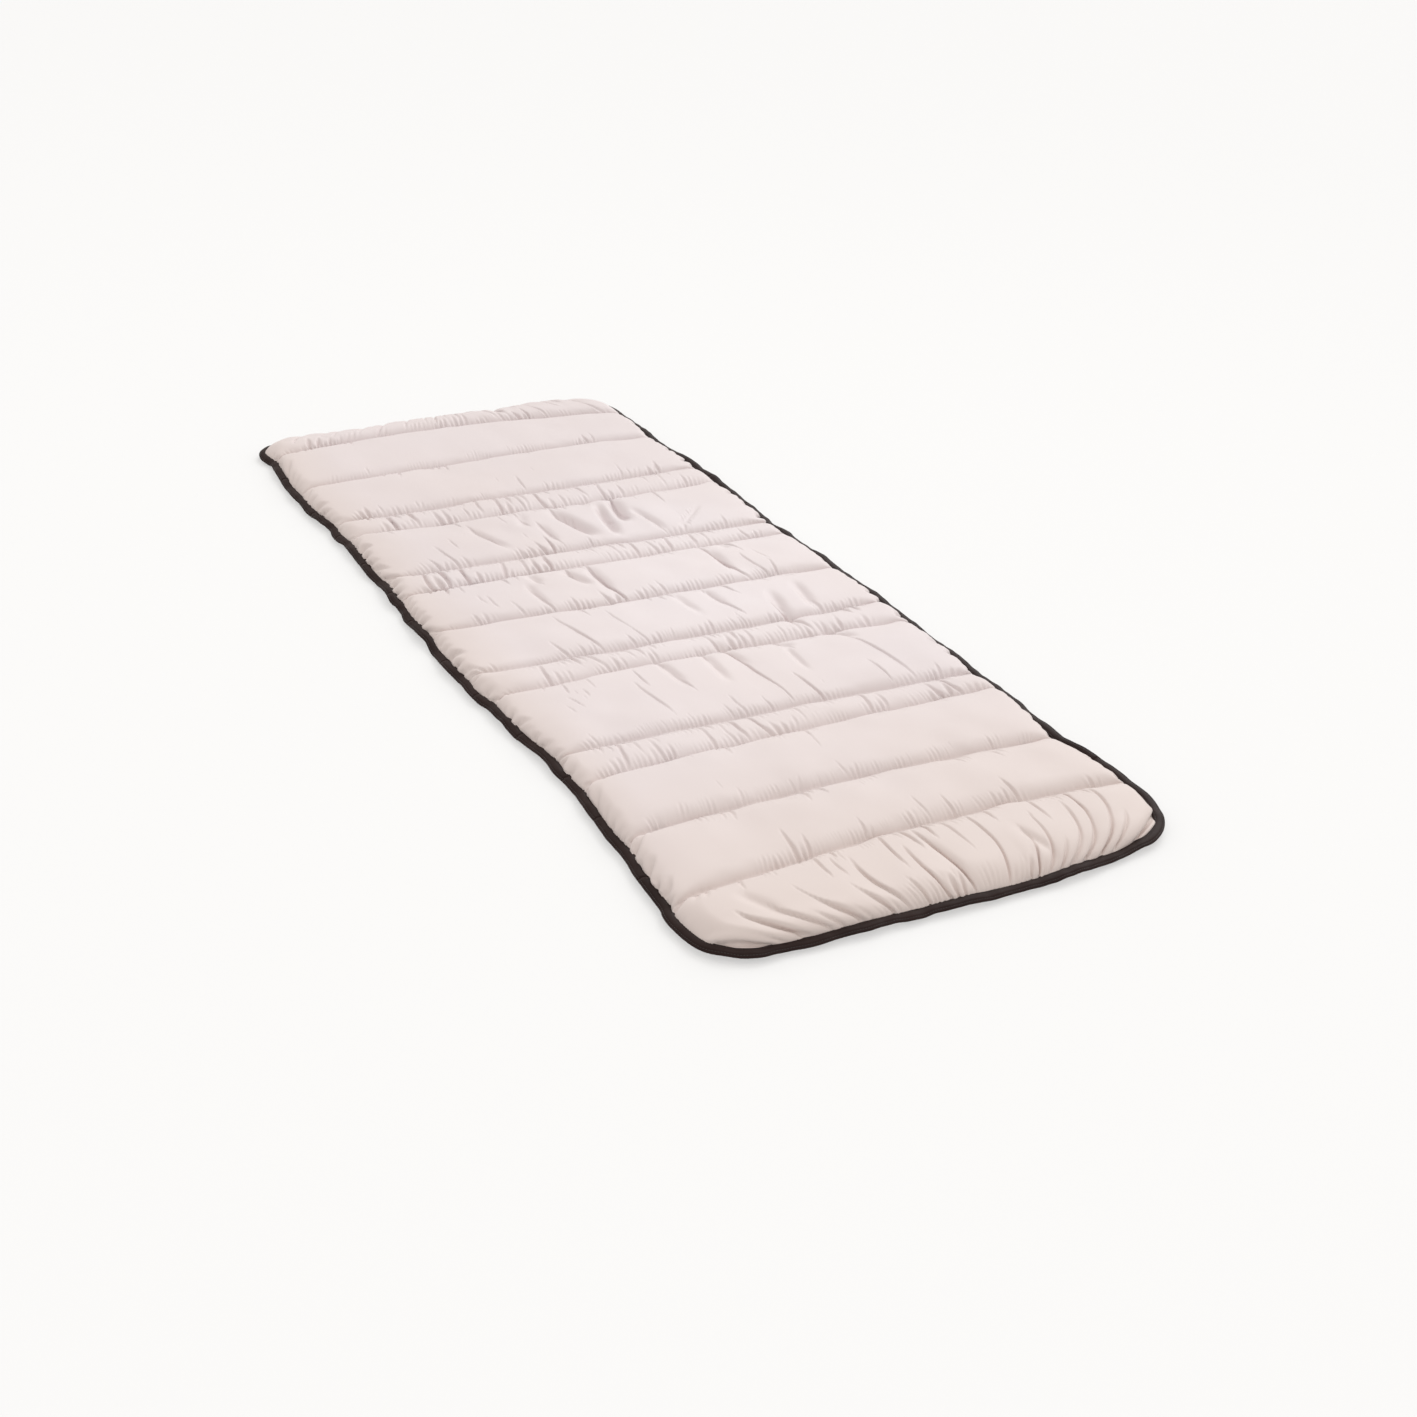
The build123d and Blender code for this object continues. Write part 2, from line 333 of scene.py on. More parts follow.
def relax(cloth, guide, lengths, fixed, steps, push, bend, ruffle, lowest):
    """A cloth simulation by position-based dynamics: the cover takes up its own lengths over
    the padding, which pushes it outwards, and its spare length goes into folds."""
    rows, columns = fixed.shape
    free = (~fixed).astype(float)
    wide, tall, rising, falling = lengths
    cloth = ruffled(cloth, free, ruffle)
    s = np.s_
    springs = []

    def add(a, b, rest, stiffness):
        total = np.maximum(free[a] + free[b], 1e-9)
        shares = [(stiffness * free[end] / total)[..., None] for end in (a, b)]
        springs.append((a, b, rest, *shares))

    # no two springs of one set share a point, so each set moves at once
    for p in (0, 1):
        add(s[:, p : columns - 1 : 2], s[:, p + 1 : columns : 2], wide[:, p::2], 1.0)
    for p in (0, 1):
        add(s[p : rows - 1 : 2, :], s[p + 1 : rows : 2, :], tall[p::2, :], 1.0)
    for p in (0, 1):
        this, following = s[p : rows - 1 : 2], s[p + 1 : rows : 2]
        add((this, s[:-1]), (following, s[1:]), rising[p::2], DIAGONAL_STIFFNESS)
        add((this, s[1:]), (following, s[:-1]), falling[p::2], DIAGONAL_STIFFNESS)
    two_wide, two_tall = wide[:, 1:] + wide[:, :-1], tall[1:] + tall[:-1]
    hinges = (
        (s[:, :-2], s[:, 2:], two_wide, bend[:, 1:-1]),
        (s[:-2], s[2:], two_tall, bend[1:-1]),
    )
    old = cloth.copy()
    outward = normals_of(cloth)
    for step in range(steps):
        if step % 4 == 3:
            outward = normals_of(cloth)
        speed = (cloth - old) * KEPT_SPEED
        old = cloth.copy()
        cloth = cloth + (speed + push * outward) * free[..., None]
        for a, b, rest, move_a, move_b in springs:
            apart = cloth[b] - cloth[a]
            length = np.sqrt(np.einsum("ijk,ijk->ij", apart, apart)) + 1e-12
            apart *= (1 - rest / length)[..., None]
            cloth[a] += move_a * apart
            cloth[b] -= move_b * apart
        stiff = np.zeros_like(cloth)
        for a, b, straight, stiffness in hinges:
            apart = cloth[b] - cloth[a]
            length = np.sqrt(np.einsum("ijk,ijk->ij", apart, apart)) + 1e-9
            apart *= (np.minimum(1 - straight / length, 0) * stiffness)[..., None]
            stiff[a] += apart
            stiff[b] -= apart
        cloth += stiff * free[..., None]
        moved = cloth - guide
        distance = np.linalg.norm(moved, axis=-1, keepdims=True)
        cloth = guide + moved * np.minimum(1, SLACK / np.maximum(distance, 1e-9))
        cloth[..., 2] = np.maximum(cloth[..., 2], lowest)
    return cloth


def sewn_cover(shape, gather, bend, underside=False):
    """One cover, sewn down at the seams and in the tape, relaxed on three grids in turn."""
    spare = spare_cloth() * gather
    along = np.full((ROWS, COLUMNS), ALONG_SPARE)
    for beside in (across[None, :] + 1, 1 - across[None, :]):  # gathers along the side tapes
        bunches = np.clip(0.4 + smooth_noise(ROWS, 120, 0.9), 0.0, 2.4)[:, None]
        bunches = bunches * np.clip(from_end / 0.09 - 0.4, 0, 1)[:, None]
        fade = np.exp(-beside * HALF_X / TAPE_GATHER_REACH)
        along = along + TAPE_GATHERS * gather * bunches * fade
    channel_skew = SKEW[row_channel][:, None]
    skew = channel_skew * smooth_field(20, 4, 0.5) + channel_skew * 0.8
    skew = skew * gather * np.clip(np.sin(np.pi * row_t), 0, 1)[:, None]
    skew = skew + gather * smooth_field(110, 36, 0.05)
    bend = bend * np.exp(smooth_field(60, 40, 0.7))
    # stiffer over the narrow channels, and in the middle of the wide ones
    narrow = slope(-widths, -0.12, 0.03)[row_channel][:, None]
    bend = bend * (1 + 1.3 * narrow)
    size = np.minimum(widths / 0.15, 1)[row_channel]
    middle = (4 * np.sin(np.pi * row_t) ** 2 * size)[:, None]
    bend = np.minimum(bend * (1 + middle), STIFFEST_BEND)
    lengths = rest_lengths(shape, spare, along, skew)
    half = coarser(lengths)
    push = -PUSH if underside else PUSH
    lowest = FLOOR_CLEARANCE if underside else -1.0
    by_4, by_2 = np.s_[::4, ::4], np.s_[::2, ::2]
    broad = relax(shape[by_4], shape[by_4], coarser(half), pinned[by_4], BROAD_STEPS,
                  push, 3.0 * bend[by_4], 0.0003, lowest)
    rough = finer(broad)
    rough[pinned[by_2]] = shape[by_2][pinned[by_2]]
    rough = relax(rough, shape[by_2], half, pinned[by_2], ROUGH_STEPS,
                  push, 1.8 * bend[by_2], 0.0008, lowest)
    cloth = finer(rough)
    cloth[pinned] = shape[pinned]
    if underside:  # out of sight, so the last grid is only interpolated
        cloth[..., 2] = np.maximum(cloth[..., 2], lowest)
        return cloth
    return relax(cloth, shape, lengths, pinned, FINE_STEPS, push, bend, 0.00025, lowest)


top = sewn_cover(top_shape, 1.0, 0.06)
bottom = sewn_cover(bottom_shape, 0.8, 0.07, underside=True)
top_normals, bottom_normals = normals_of(top), -normals_of(bottom)


# ---------------------------------------------------------------- materials
UV_SPAN = 2.2  # metres covered by the texture square
UV_MARGIN_X, UV_MARGIN_Y = 0.46, 1.06  # metres from the square's corner to the pad's middle
UNDERSIDE_SHIFT = 0.47  # of the square, from the top cover to the underside


class Nodes:
    """A node tree, and short ways to add to it."""

    def __init__(self, tree):
        self.tree = tree

    def feed(self, port, value):
        """An input gets another node's output, or a plain value."""
        if isinstance(value, bpy.types.NodeSocket):
            self.tree.links.new(value, port)
        else:
            port.default_value = (*value, 1) if isinstance(value, tuple) else value

    def give(self, node, inputs):
        for name, value in inputs.items():
            self.feed(node.inputs[name], value)
        return node

    def add(self, kind, inputs, **settings):
        node = self.tree.nodes.new(kind)
        for key, value in settings.items():
            setattr(node, key, value)
        return self.give(node, inputs)

    def flat_metres(self):
        """The flat cloth's own coordinates in metres, so the weave stays on it in any pose."""
        uv = self.add("ShaderNodeTexCoord", {}).outputs["UV"]
        mapping = self.add("ShaderNodeMapping", {"Vector": uv})
        mapping.inputs["Scale"].default_value = (UV_SPAN,) * 3
        return mapping.outputs["Vector"]

    def noise(self, place, scale, detail, roughness):
        inputs = {"Vector": place, "Scale": scale, "Detail": detail, "Roughness": roughness}
        return self.add("ShaderNodeTexNoise", inputs).outputs["Fac"]

    def wave(self, place, scale, axis, distortion):
        inputs = {"Vector": place, "Scale": scale, "Detail": 0, "Distortion": distortion}
        settings = {"wave_type": "BANDS", "bands_direction": axis}
        return self.add("ShaderNodeTexWave", inputs, **settings).outputs["Fac"]

    def calc(self, operation, a, b):
        return self.add("ShaderNodeMath", {0: a, 1: b}, operation=operation).outputs[0]

    def ramp(self, fac, low, high):
        """From one (position, colour) to another."""
        made = self.add("ShaderNodeValToRGB", {"Fac": fac})
        for element, (position, colour) in zip(made.color_ramp.elements, (low, high)):
            element.position, element.color = position, (*colour, 1)
        return made.outputs["Color"]

    def mix(self, fac, a, b):
        made = self.add("ShaderNodeMix", {"Factor": fac}, data_type="RGBA")
        colours = [port for port in made.inputs if port.type == "RGBA"]
        for port, value in zip(colours, (a, b)):
            self.feed(port, value)
        return [port for port in made.outputs if port.type == "RGBA"][0]

    def bump(self, height, strength, distance, under=None):
        inputs = {"Height": height, "Strength": strength, "Distance": distance}
        if under is not None:
            inputs["Normal"] = under
        return self.add("ShaderNodeBump", inputs).outputs["Normal"]


def material(name):
    made = bpy.data.materials.new(name)
    made.use_nodes = True
    return made, Nodes(made.node_tree), made.node_tree.nodes["Principled BSDF"]


def microfibre(name, pale, warm, cool, sheen):
    """Brushed polyester cover: a very fine plain weave, faint slubs and a soft sheen."""
    made, web, shader = material(name)
    place = web.flat_metres()
    broad = web.noise(place, 2.3, 3, 0.5)
    patches = web.noise(place, 11, 4, 0.6)
    fine = web.noise(place, 900, 2, 0.6)
    # painted warm light: the colour turns warmer towards the foot end and the left side
    parts = web.add("ShaderNodeSeparateXYZ", {"Vector": place}).outputs
    from_foot = web.calc("MULTIPLY", web.calc("SUBTRACT", 0.62, parts["Y"]), 1.5)
    from_left = web.calc("MULTIPLY", web.calc("SUBTRACT", 0.17, parts["X"]), 7.0)
    painted_warm_light_raw = web.calc("MAXIMUM", from_foot, from_left)
    painted_warm_light = web.add("ShaderNodeClamp", {"Value": painted_warm_light_raw, "Max": 0.85}).outputs["Result"]
    tone = web.ramp(broad, (0.32, pale), (0.7, cool))
    tone = web.mix(painted_warm_light, tone, warm)
    tone = web.mix(web.calc("MULTIPLY", patches, 0.14), tone, warm)
    tone = web.mix(web.calc("MULTIPLY", fine, 0.10), tone, tuple(c * 0.8 for c in pale))
    warp_threads = web.wave(place, 420, "X", 0.6)
    weft_threads = web.wave(place, 420, "Y", 0.6)
    normal = web.bump(web.calc("MAXIMUM", warp_threads, weft_threads), 0.16, 0.0002)
    slubs = web.noise(place, 160, 3, 0.65)
    web.give(shader, {
        "Base Color": tone,
        "Normal": web.bump(slubs, 0.10, 0.0006, normal),
        "Roughness": web.calc("ADD", web.calc("MULTIPLY", patches, 0.16), 0.50),
        "Specular IOR Level": 0.35,
        "Sheen Weight": sheen,
        "Sheen Roughness": 0.45,
        "Sheen Tint": (1.0, 0.97, 0.95),
    })
    return made


def binding_cloth(name):
    """Satin-weave tape: dark brown, with a diagonal rib and paler high spots."""
    made, web, shader = material(name)
    place = web.flat_metres()
    broad = web.noise(place, 9, 4, 0.6)
    fine = web.noise(place, 700, 3, 0.65)
    tone = web.ramp(broad, (0.3, (0.013, 0.0062, 0.0055)), (0.7, (0.027, 0.0145, 0.0130)))
    tone = web.mix(web.calc("MULTIPLY", fine, 0.30), tone, (0.050, 0.030, 0.026))
    rib = web.wave(place, 260, "DIAGONAL", 0.8)
    cross = web.wave(place, 330, "X", 0.5)
    threads = web.calc("ADD", rib, web.calc("MULTIPLY", cross, 0.5))
    normal = web.bump(threads, 0.30, 0.0003)
    web.give(shader, {
        "Base Color": tone,
        "Normal": web.bump(web.noise(place, 60, 3, 0.5), 0.15, 0.001, normal),
        "Roughness": web.calc("ADD", web.calc("MULTIPLY", fine, 0.25), 0.38),
        "Specular IOR Level": 0.08,
        "Sheen Weight": 0.04,
        "Sheen Roughness": 0.4,
        "Sheen Tint": (0.75, 0.55, 0.50),
    })
    return made


def thread(name, dark, pale, roughness):
    """Twisted sewing thread."""
    made, web, shader = material(name)
    twist = web.wave(web.flat_metres(), 500, "DIAGONAL", 0.3)
    web.give(shader, {
        "Base Color": web.ramp(twist, (0.2, dark), (0.8, pale)),
        "Normal": web.bump(twist, 0.4, 0.0001),
        "Roughness": roughness,
        "Sheen Weight": 0.1,
    })
    return made


COVER = microfibre(
    "cover_top_microfibre",
    pale=(0.765, 0.682, 0.677), warm=(0.735, 0.633, 0.585), cool=(0.775, 0.705, 0.718), sheen=0.25,
)
UNDERSIDE = microfibre(
    "cover_underside_microfibre",
    pale=(0.74, 0.655, 0.63), warm=(0.72, 0.62, 0.58), cool=(0.74, 0.67, 0.66), sheen=0.2,
)
BINDING = binding_cloth("edge_binding_satin")
SEAM_THREAD = thread("seam_thread_white", (0.62, 0.54, 0.52), (0.86, 0.79, 0.77), 0.5)
DARK_THREAD = thread("binding_thread_brown", (0.008, 0.006, 0.006), (0.035, 0.027, 0.025), 0.45)


# ---------------------------------------------------------------- meshes
def uv_of(x, y, underneath=False):
    """Places in the texture square, with the underside beside the top."""
    u = (x + UV_MARGIN_X) / UV_SPAN + UNDERSIDE_SHIFT * underneath
    return np.stack([u, (y + UV_MARGIN_Y) / UV_SPAN], -1)


def place_object(name, data):
    made = bpy.data.objects.new(name, data)
    bpy.context.scene.collection.objects.link(made)
    return made


class Mesh:
    """Collects vertices, faces, texture places, materials and normals for one piece."""

    def __init__(self):
        self.points, self.faces, self.uvs, self.slots, self.normals = [], [], [], [], []
        self.count = 0

    def add(self, points, faces, uvs, slots=None, normals=None):
        points = np.asarray(points, float).reshape(-1, 3)
        self.points.append(points)
        self.uvs.append(np.asarray(uvs, float).reshape(-1, 2))
        self.faces += [[self.count + i for i in face] for face in faces]
        self.slots += slots or [0] * len(faces)
        if normals is not None:
            self.normals.append(normals)
        self.count += len(points)

    def make(self, name, materials):
        mesh = bpy.data.meshes.new(name)
        mesh.from_pydata(np.concatenate(self.points).tolist(), [], self.faces)
        for each in materials:
            mesh.materials.append(each)
        mesh.polygons.foreach_set("material_index", np.array(self.slots, np.int32))
        mesh.polygons.foreach_set("use_smooth", np.ones(len(self.faces), bool))
        corner = np.empty(len(mesh.loops), np.int32)
        mesh.loops.foreach_get("vertex_index", corner)
        layer = mesh.uv_layers.new(name="flat_cloth")
        layer.data.foreach_set("uv", np.concatenate(self.uvs)[corner].astype(np.float32).ravel())
        mesh.update()
        if self.normals:
            mesh.normals_split_custom_set_from_vertices(np.concatenate(self.normals).tolist())
        return place_object(name, mesh)


def grid_faces(index, flip=False):
    a, b, c, d = index[:-1, :-1], index[:-1, 1:], index[1:, 1:], index[1:, :-1]
    return np.stack([a, d, c, b] if flip else [a, b, c, d], -1).reshape(-1, 4)


def tidy_faces(quads):
    """The same faces without repeated corners, and none with fewer than three."""
    faces = [list(dict.fromkeys(quad)) for quad in quads.tolist()]
    return [face for face in faces if len(face) > 2]


def tube_faces(rings, sides):
    """Faces of a tube through rings of points, capped at both ends."""
    index = np.arange(rings * sides).reshape(rings, sides)
    index = np.concatenate([index, index[:, :1]], 1)
    caps = [list(range(sides))[::-1], list(range((rings - 1) * sides, rings * sides))]
    return grid_faces(index).tolist() + caps


def bend_with(piece):
    """The piece's transform, baked into its mesh."""
    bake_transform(piece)


def strip_rows(seam):
    """A piece runs from the middle of one channel to the middle of the next."""
    first = 0 if seam == 1 else middle_rows[seam - 1]
    last = ROWS - 1 if seam == SEAMS else middle_rows[seam]
    return first, last


def quilt_strip(seam):
    first, last = strip_rows(seam)
    rows = slice(first, last + 1)
    n = last - first + 1
    upper = np.arange(n * COLUMNS).reshape(n, COLUMNS)
    lower = upper + n * COLUMNS
    # both covers share their points where they are sewn together
    lower[:, 0], lower[:, -1] = upper[:, 0], upper[:, -1]
    if seam == 1:
        lower[0] = upper[0]
    if seam == SEAMS:
        lower[-1] = upper[-1]
    points = np.concatenate([grid[rows].reshape(-1, 3) for grid in (top, bottom)])
    normals = np.concatenate([grid[rows].reshape(-1, 3) for grid in (top_normals, bottom_normals)])
    x, y = flat_x[rows], flat_y[rows]
    uvs = np.concatenate([uv_of(x, y).reshape(-1, 2), uv_of(x, y, True).reshape(-1, 2)])
    over = tidy_faces(grid_faces(upper))
    under = tidy_faces(grid_faces(lower, flip=True))
    if seam > 1:
        under += tidy_faces(grid_faces(np.stack([upper[0], lower[0]]), flip=True))
    if seam < SEAMS:
        under += tidy_faces(grid_faces(np.stack([upper[-1], lower[-1]])))
    used = np.zeros(len(points), bool)
    used[np.unique(upper)] = used[np.unique(lower)] = True
    new = (np.cumsum(used) - 1).tolist()
    faces = [[new[i] for i in face] for face in over + under]
    mesh = Mesh()
    mesh.add(points[used], faces, uvs[used], [0] * len(over) + [1] * len(under), normals[used])
    piece = mesh.make(f"quilting_{seam:02d}", [COVER, UNDERSIDE])
    bend_with(piece)
    parts = ("top_cover", "underside_cover", "filling")
    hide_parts(*[f"{part}_{c:02d}" for c in (seam, seam + 1) for part in parts])


# ---------------------------------------------------------------- the edge tape
TAPE_WIDTH = 0.0180
TAPE_THICK = 0.0070
TAPE_INSIDE = 0.0040  # how far the tape reaches in over the quilt's edge
TAPE_DROOP = math.radians(9)
RAISED_BY = math.radians(22)  # how much less it droops where it stands up
TAPE_CLEARANCE = 0.0004  # its least height above the floor
TAPE_TEXTURE_GIRTH, TAPE_TEXTURE_RUN = 0.05, 2.0  # metres of texture round it and along it
TAPE_TEXTURE_START, TAPE_TEXTURE_STEP = 0.02, 0.03  # where each run of it lies in the square
TAPE_SIDES = 30
GROOVES = (0.0034, 0.0152)  # where the two rows of thread sink in, from the inner edge
GROOVE_WIDTH, GROOVE_DEPTH = 0.0009, 0.30


def smoothed(path, times):
    path = path.copy()
    for _ in range(times):
        path[1:-1] = 0.25 * (path[2:] + path[:-2]) + 0.5 * path[1:-1]
    return path


def border_path():
    """The quilt's edge from the head end's middle down the left side, across the foot and up
    the right side, as rows and columns of the grid."""
    half = COLUMNS // 2
    head_left = [(ROWS - 1, c) for c in range(half, 0, -1)]
    left = [(r, 0) for r in range(ROWS - 1, -1, -1)]
    foot = [(0, c) for c in range(1, COLUMNS - 1)]
    right = [(r, COLUMNS - 1) for r in range(ROWS)]
    head_right = [(ROWS - 1, c) for c in range(COLUMNS - 2, half - 1, -1)]
    return np.array(head_left + left + foot + right + head_right).T


border_rows, border_columns = border_path()
loop = top_shape[border_rows, border_columns]
loop[:, 2] = SEAM_Z
for _ in range(10):  # a closed loop: its two ends meet at the head end's middle
    ahead, behind = np.roll(loop[:-1], -1, 0), np.roll(loop[:-1], 1, 0)
    loop[:-1] = 0.25 * (ahead + behind) + 0.5 * loop[:-1]
    loop[-1] = loop[0]
run = np.concatenate([[0], np.cumsum(np.linalg.norm(np.diff(loop, axis=0), axis=1))])
LOOP_LENGTH = run[-1]


def loop_wave(cells, amplitude):
    """A smooth random curve round the closed edge."""
    turn = run / LOOP_LENGTH * 2 * math.pi
    total = np.zeros(len(run))
    for harmonic in range(cells // 3, cells):
        total += rng.normal() * np.cos(harmonic * turn + rng.uniform(0, 2 * math.pi))
    return amplitude * total / math.sqrt(max(cells - cells // 3, 1) / 2)


tangent = np.empty_like(loop)
tangent[1:-1] = loop[2:] - loop[:-2]
tangent[0] = tangent[-1] = loop[1] - loop[-2]
tangent /= np.linalg.norm(tangent, axis=1, keepdims=True)
outward = np.cross(tangent, [0, 0, 1.0])
outward[:, 2] = 0
outward /= np.linalg.norm(outward, axis=1, keepdims=True)
droop = TAPE_DROOP + loop_wave(60, math.radians(2.6)) + loop_wave(200, math.radians(1.2))
# on the right side the tape stands up, most of all in two places
raised = hill(loop[:, 1], -0.76, 0.11) + 0.6 * hill(loop[:, 1], 0.50, 0.10)
raised = slope(loop[:, 0], 0.30, 0.08) * (0.45 + 0.9 * raised + loop_wave(40, 0.12))
droop = droop - raised * RAISED_BY
thick = TAPE_THICK * (1 + loop_wave(160, 0.045))
lift = loop_wave(46, 0.0007) + 0.003 * np.clip(raised, 0, None)
shift = loop_wave(90, 0.0006) + 0.0035 * np.clip(raised, 0, None)

# the tape's section: out from its inner edge, and up from its middle for a thickness of 1
angle = np.linspace(0, 2 * math.pi, TAPE_SIDES, endpoint=False)
reach_out = TAPE_WIDTH * (1 + np.cos(angle)) / 2
rise = np.sign(np.sin(angle)) * np.abs(np.sin(angle)) ** 0.72 / 2
sunk = sum(hill(reach_out, groove, GROOVE_WIDTH) for groove in GROOVES)
rise = rise * (1 - GROOVE_DEPTH * sunk)
rise = rise * (1 + 0.10 * np.sin(math.pi * np.clip(reach_out / TAPE_WIDTH, 0, 1)))


def groove_height(groove):
    upper = slice(TAPE_SIDES // 2, None, -1)  # the upper half, from the inner edge outwards
    return float(np.interp(groove, reach_out[upper], rise[upper]))


def tape_points(places, out, up):
    """Points of the tape at places round the loop, out and up from its inner edge's middle."""
    lean = droop[places][:, None]
    level = thick[places][:, None] * up
    across_it = out * np.cos(lean) + level * np.sin(lean) - TAPE_INSIDE + shift[places][:, None]
    above = -out * np.sin(lean) + level * np.cos(lean) + lift[places][:, None]
    points = loop[places][:, None, :] + outward[places][:, None, :] * across_it[..., None]
    points[..., 2] = np.maximum(points[..., 2] + above, TAPE_CLEARANCE)
    return points


def tape_runs(seam):
    """The stretches of the loop in this seam's strip, as index arrays."""
    first, last = strip_rows(seam)
    inside = (border_rows >= first) & (border_rows <= last)
    order = np.arange(len(border_rows))
    if seam == 1:
        return [order[inside]]
    if seam == SEAMS:
        picked, half = order[inside], len(order) // 2
        return [np.concatenate([picked[picked > half], picked[picked < half][1:]])]
    return [order[inside & (border_columns == side)] for side in (0, COLUMNS - 1)]


def binding(seam):
    tape, stitches = Mesh(), Mesh()
    for places in tape_runs(seam):
        past_join = (places < len(run) // 2) & (seam == SEAMS)
        along = run[places] + np.where(past_join, LOOP_LENGTH, 0)
        # round the section and along the edge, folded to fit the texture square
        girth = np.arange(TAPE_SIDES) / TAPE_SIDES * TAPE_TEXTURE_GIRTH
        fold = np.floor(along / TAPE_TEXTURE_RUN)[:, None]
        u = TAPE_TEXTURE_START + girth / UV_SPAN + fold * TAPE_TEXTURE_STEP
        v = np.broadcast_to((along % TAPE_TEXTURE_RUN)[:, None] / UV_SPAN, u.shape)
        points = tape_points(places, reach_out, rise)
        tape.add(points, tube_faces(len(places), TAPE_SIDES), np.stack([u, v], -1))
        for side, groove in ((1, GROOVES[0]), (1, GROOVES[1]), (-1, GROOVES[1])):
            line = tape_points(places, groove, side * groove_height(groove))[:, 0]
            stitch_row(stitches, line, side, length=0.0032, gap=0.0011, radius=0.00042)
    piece = tape.make(f"binding_tape_{seam:02d}", [BINDING])
    bend_with(piece)
    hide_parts(f"edge_binding_{seam:02d}", f"edge_binding_{seam + 1:02d}")
    sewing = stitches.make(f"binding_stitches_{seam:02d}", [DARK_THREAD])
    bend_with(sewing)


# ---------------------------------------------------------------- stitches
# along one stitch: how far, how high and how thick, the last two in radii
STITCH_STOPS = np.array([0.0, 0.18, 0.5, 0.82, 1.0])
STITCH_HEIGHTS = np.array([-1.3, 0.25, 0.55, 0.25, -1.3])
STITCH_RADII = np.array([0.45, 0.95, 1.0, 0.95, 0.45])
STITCH_SIDES = 6


def stitch_row(mesh, line, side, length, gap, radius, proud=0.0):
    """A row of stitches along a line, each a short thread that dives into the cloth at its ends."""
    up = np.array([0, 0, side * 1.0])
    lengths = np.concatenate([[0], np.cumsum(np.linalg.norm(np.diff(line, axis=0), axis=1))])
    pitch = length + gap
    count = max(1, int(lengths[-1] / pitch))
    starts = (lengths[-1] - count * pitch) / 2 + gap / 2 + np.arange(count) * pitch
    where = starts[:, None] + STITCH_STOPS * length
    middle = np.stack([np.interp(where, lengths, line[:, k]) for k in range(3)], -1)
    middle += up * (STITCH_HEIGHTS * radius + proud)[None, :, None]
    direction = middle[:, -1] - middle[:, 0]
    direction /= np.linalg.norm(direction, axis=-1, keepdims=True)
    sideways = np.cross(direction, up)
    sideways /= np.linalg.norm(sideways, axis=-1, keepdims=True)
    upright = np.cross(sideways, direction)
    turn = np.linspace(0, 2 * math.pi, STITCH_SIDES, endpoint=False)[:, None]
    ring = np.cos(turn) * sideways[:, None, :] + np.sin(turn) * upright[:, None, :]
    radii = (STITCH_RADII * radius)[None, :, None, None]
    points = middle[:, :, None, :] + radii * ring[:, None]
    one = tube_faces(len(STITCH_STOPS), STITCH_SIDES)
    size = len(STITCH_STOPS) * STITCH_SIDES
    faces = [[base * size + i for i in face] for base in range(count) for face in one]
    mesh.add(points, faces, uv_of(points[..., 0], points[..., 1]))


def seam_stitches(seam):
    mesh = Mesh()
    row = seam_rows[seam]
    for grid, side in ((top, 1), (bottom, -1)):
        line = smoothed(grid[row, 2:-2], 2)
        stitch_row(mesh, line, side, length=0.0036, gap=0.0010, radius=0.00048, proud=0.0002)
    piece = mesh.make(f"seam_stitches_{seam:02d}", [SEAM_THREAD])
    bend_with(piece)


for seam in range(1, SEAMS + 1):
    quilt_strip(seam)
    binding(seam)
    seam_stitches(seam)

# ---------------------------------------------------------------- floor, light and camera
floor_mesh = bpy.data.meshes.new("floor")
FLOOR_HALF = 14
corners = [(x * FLOOR_HALF, y * FLOOR_HALF, 0) for x, y in ((-1, -1), (1, -1), (1, 1), (-1, 1))]
floor_mesh.from_pydata(corners, [], [(0, 1, 2, 3)])
floor = place_object("floor", floor_mesh)
floor_material, floor_web, floor_shader = material("floor_pale")
floor_web.give(floor_shader, {
    "Base Color": (0.92, 0.92, 0.92),
    "Roughness": 0.9,
    "Specular IOR Level": 0.05,
    "Alpha": 0.5,  # a part that bends below the floor still shows
})
floor_mesh.materials.append(floor_material)

world = bpy.data.worlds.new("studio")
world.use_nodes = True
web = Nodes(world.node_tree)
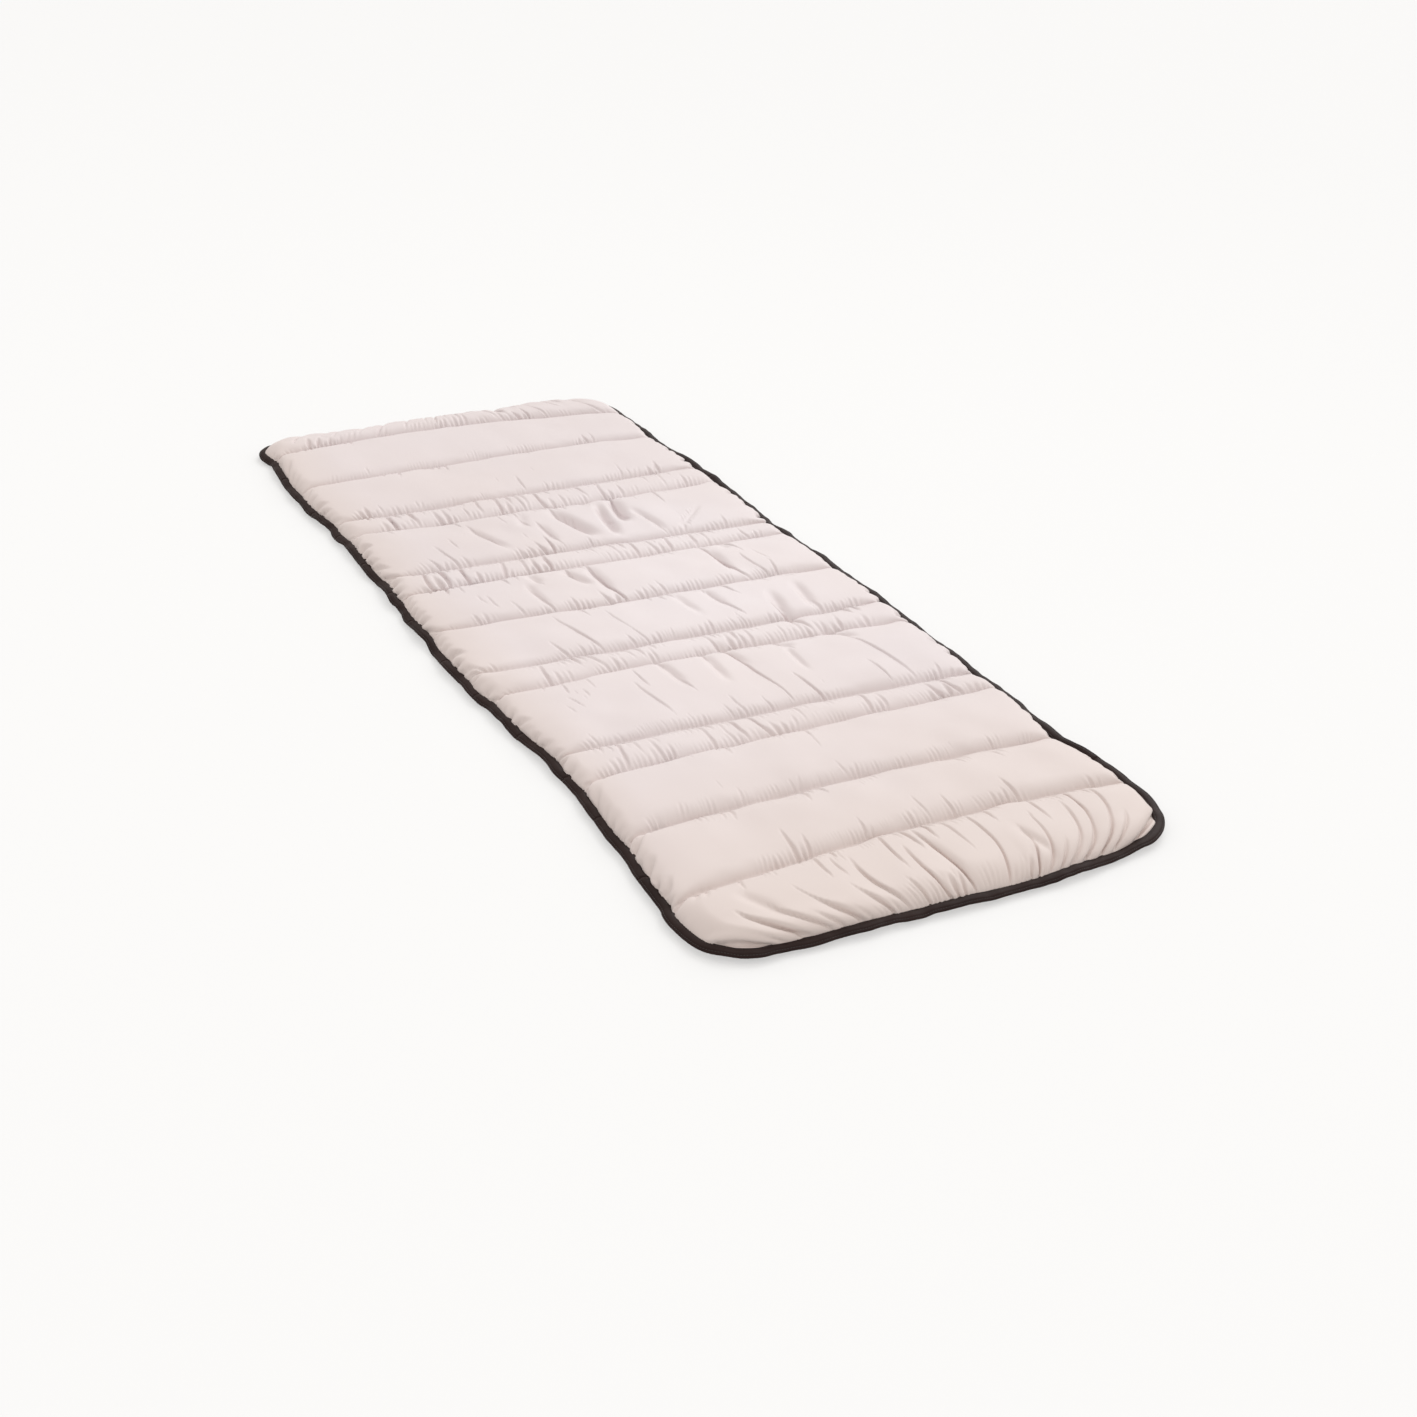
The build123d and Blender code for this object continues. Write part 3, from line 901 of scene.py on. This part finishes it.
# a pale backdrop for the camera, and a warm, softer fill for the cloth
seen = web.add("ShaderNodeLightPath", {}).outputs["Is Camera Ray"]
strength = web.add("ShaderNodeMapRange", {"Value": seen, "To Min": 0.80, "To Max": 1.0})
web.give(world.node_tree.nodes["Background"], {
    "Color": web.mix(seen, (1.0, 0.968, 0.938), (0.985, 0.985, 0.98)),
    "Strength": strength.outputs["Result"],
})
bpy.context.scene.world = world


def lamp(name, kind, power, colour, place, target, **settings):
    data = bpy.data.lights.new(name, kind)
    data.energy, data.color = power, colour
    for key, value in settings.items():
        setattr(data, key, value)
    made = place_object(name, data)
    made.location = place
    made.rotation_euler = (Vector(target) - Vector(place)).to_track_quat("-Z", "Y").to_euler()


lamp("window", "SUN", 1.15, (0.97, 0.985, 1.0), (3.0, 2.3, 2.6), (0, 0, 0), angle=math.radians(38))
lamp(
    "window_patch", "SPOT", 125, (0.80, 0.93, 1.0), (1.7, 2.5, 2.6), (0.10, -0.05, 0.03),
    spot_size=math.radians(8.6), spot_blend=1.0, shadow_soft_size=0.3,
)
lamp(
    "overhead", "AREA", 8, (1.0, 0.98, 0.96), (0.4, 0.3, 3.4), (0, 0, 0),
    shape="RECTANGLE", size=3.4, size_y=3.4,
)

YAW, PITCH, ROLL = math.radians(31.02), math.radians(28.2), math.radians(4.46)
CAMERA_PLACE = (-1.522, -2.784, 1.509)
SENSOR_WIDTH, FOCAL_LENGTH = 36, 49.53  # millimetres
forward = Vector((
    math.sin(YAW) * math.cos(PITCH),
    math.cos(YAW) * math.cos(PITCH),
    -math.sin(PITCH),
))
level_right = forward.cross(Vector((0, 0, 1))).normalized()
level_up = level_right.cross(forward)
right = level_right * math.cos(ROLL) + level_up * math.sin(ROLL)
up = -level_right * math.sin(ROLL) + level_up * math.cos(ROLL)
camera_data = bpy.data.cameras.new("camera")
camera_data.sensor_width, camera_data.lens = SENSOR_WIDTH, FOCAL_LENGTH
camera = place_object("camera", camera_data)
turned = Matrix((right, up, -forward)).transposed()
camera.matrix_world = Matrix.Translation(CAMERA_PLACE) @ turned.to_4x4()
bpy.context.scene.camera = camera
bpy.context.scene.view_settings.view_transform = "Standard"
